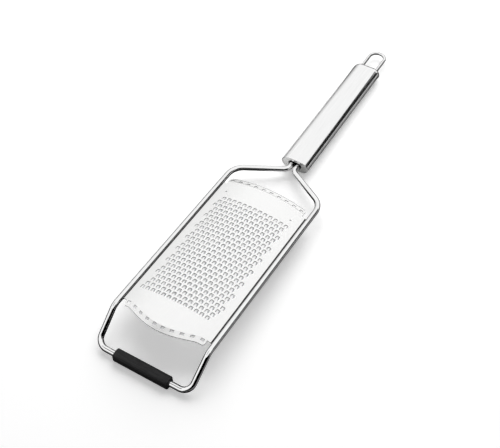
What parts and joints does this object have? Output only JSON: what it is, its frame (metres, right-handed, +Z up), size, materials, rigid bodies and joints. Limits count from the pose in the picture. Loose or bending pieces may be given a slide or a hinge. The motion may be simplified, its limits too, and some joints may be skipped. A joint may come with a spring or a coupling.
{
  "type": "rasp zester",
  "caption": "Hand rasp for kitchen use: arched toothed plate in a bent rod frame with a rubber-sleeved foot, flattened oval metal handle and wire hanging loop.",
  "frame": {"origin": "centre of the bounding box on the table that the rasp stands on", "axes": "+Y from the foot to the hanging loop, +Z up from the table, +X across to the right when seen from the foot"},
  "size_m": [0.0838, 0.3788, 0.0279],
  "materials": {
    "polished_rod": "polished",
    "sleeve_rubber": "matte, faintly mottled",
    "plate_steel": "fine satin",
    "weld_steel": "as welded",
    "handle_steel": "brushed along its length",
    "cap_steel": "satin",
    "anchor_metal": "raw",
    "loop_rod": "polished"
  },
  "bodies": {
    "root": {"frame_wire": "polished_rod", "foot_sleeve": "sleeve_rubber", "rasp_plate": "plate_steel", "plate_welds": "weld_steel", "handle_tube": "handle_steel", "handle_front_cap": "cap_steel", "leg_anchor": "anchor_metal", "handle_rear_cap": "handle_steel", "loop_anchor": "anchor_metal", "hanging_loop": "loop_rod"}
  },
  "joints": []
}
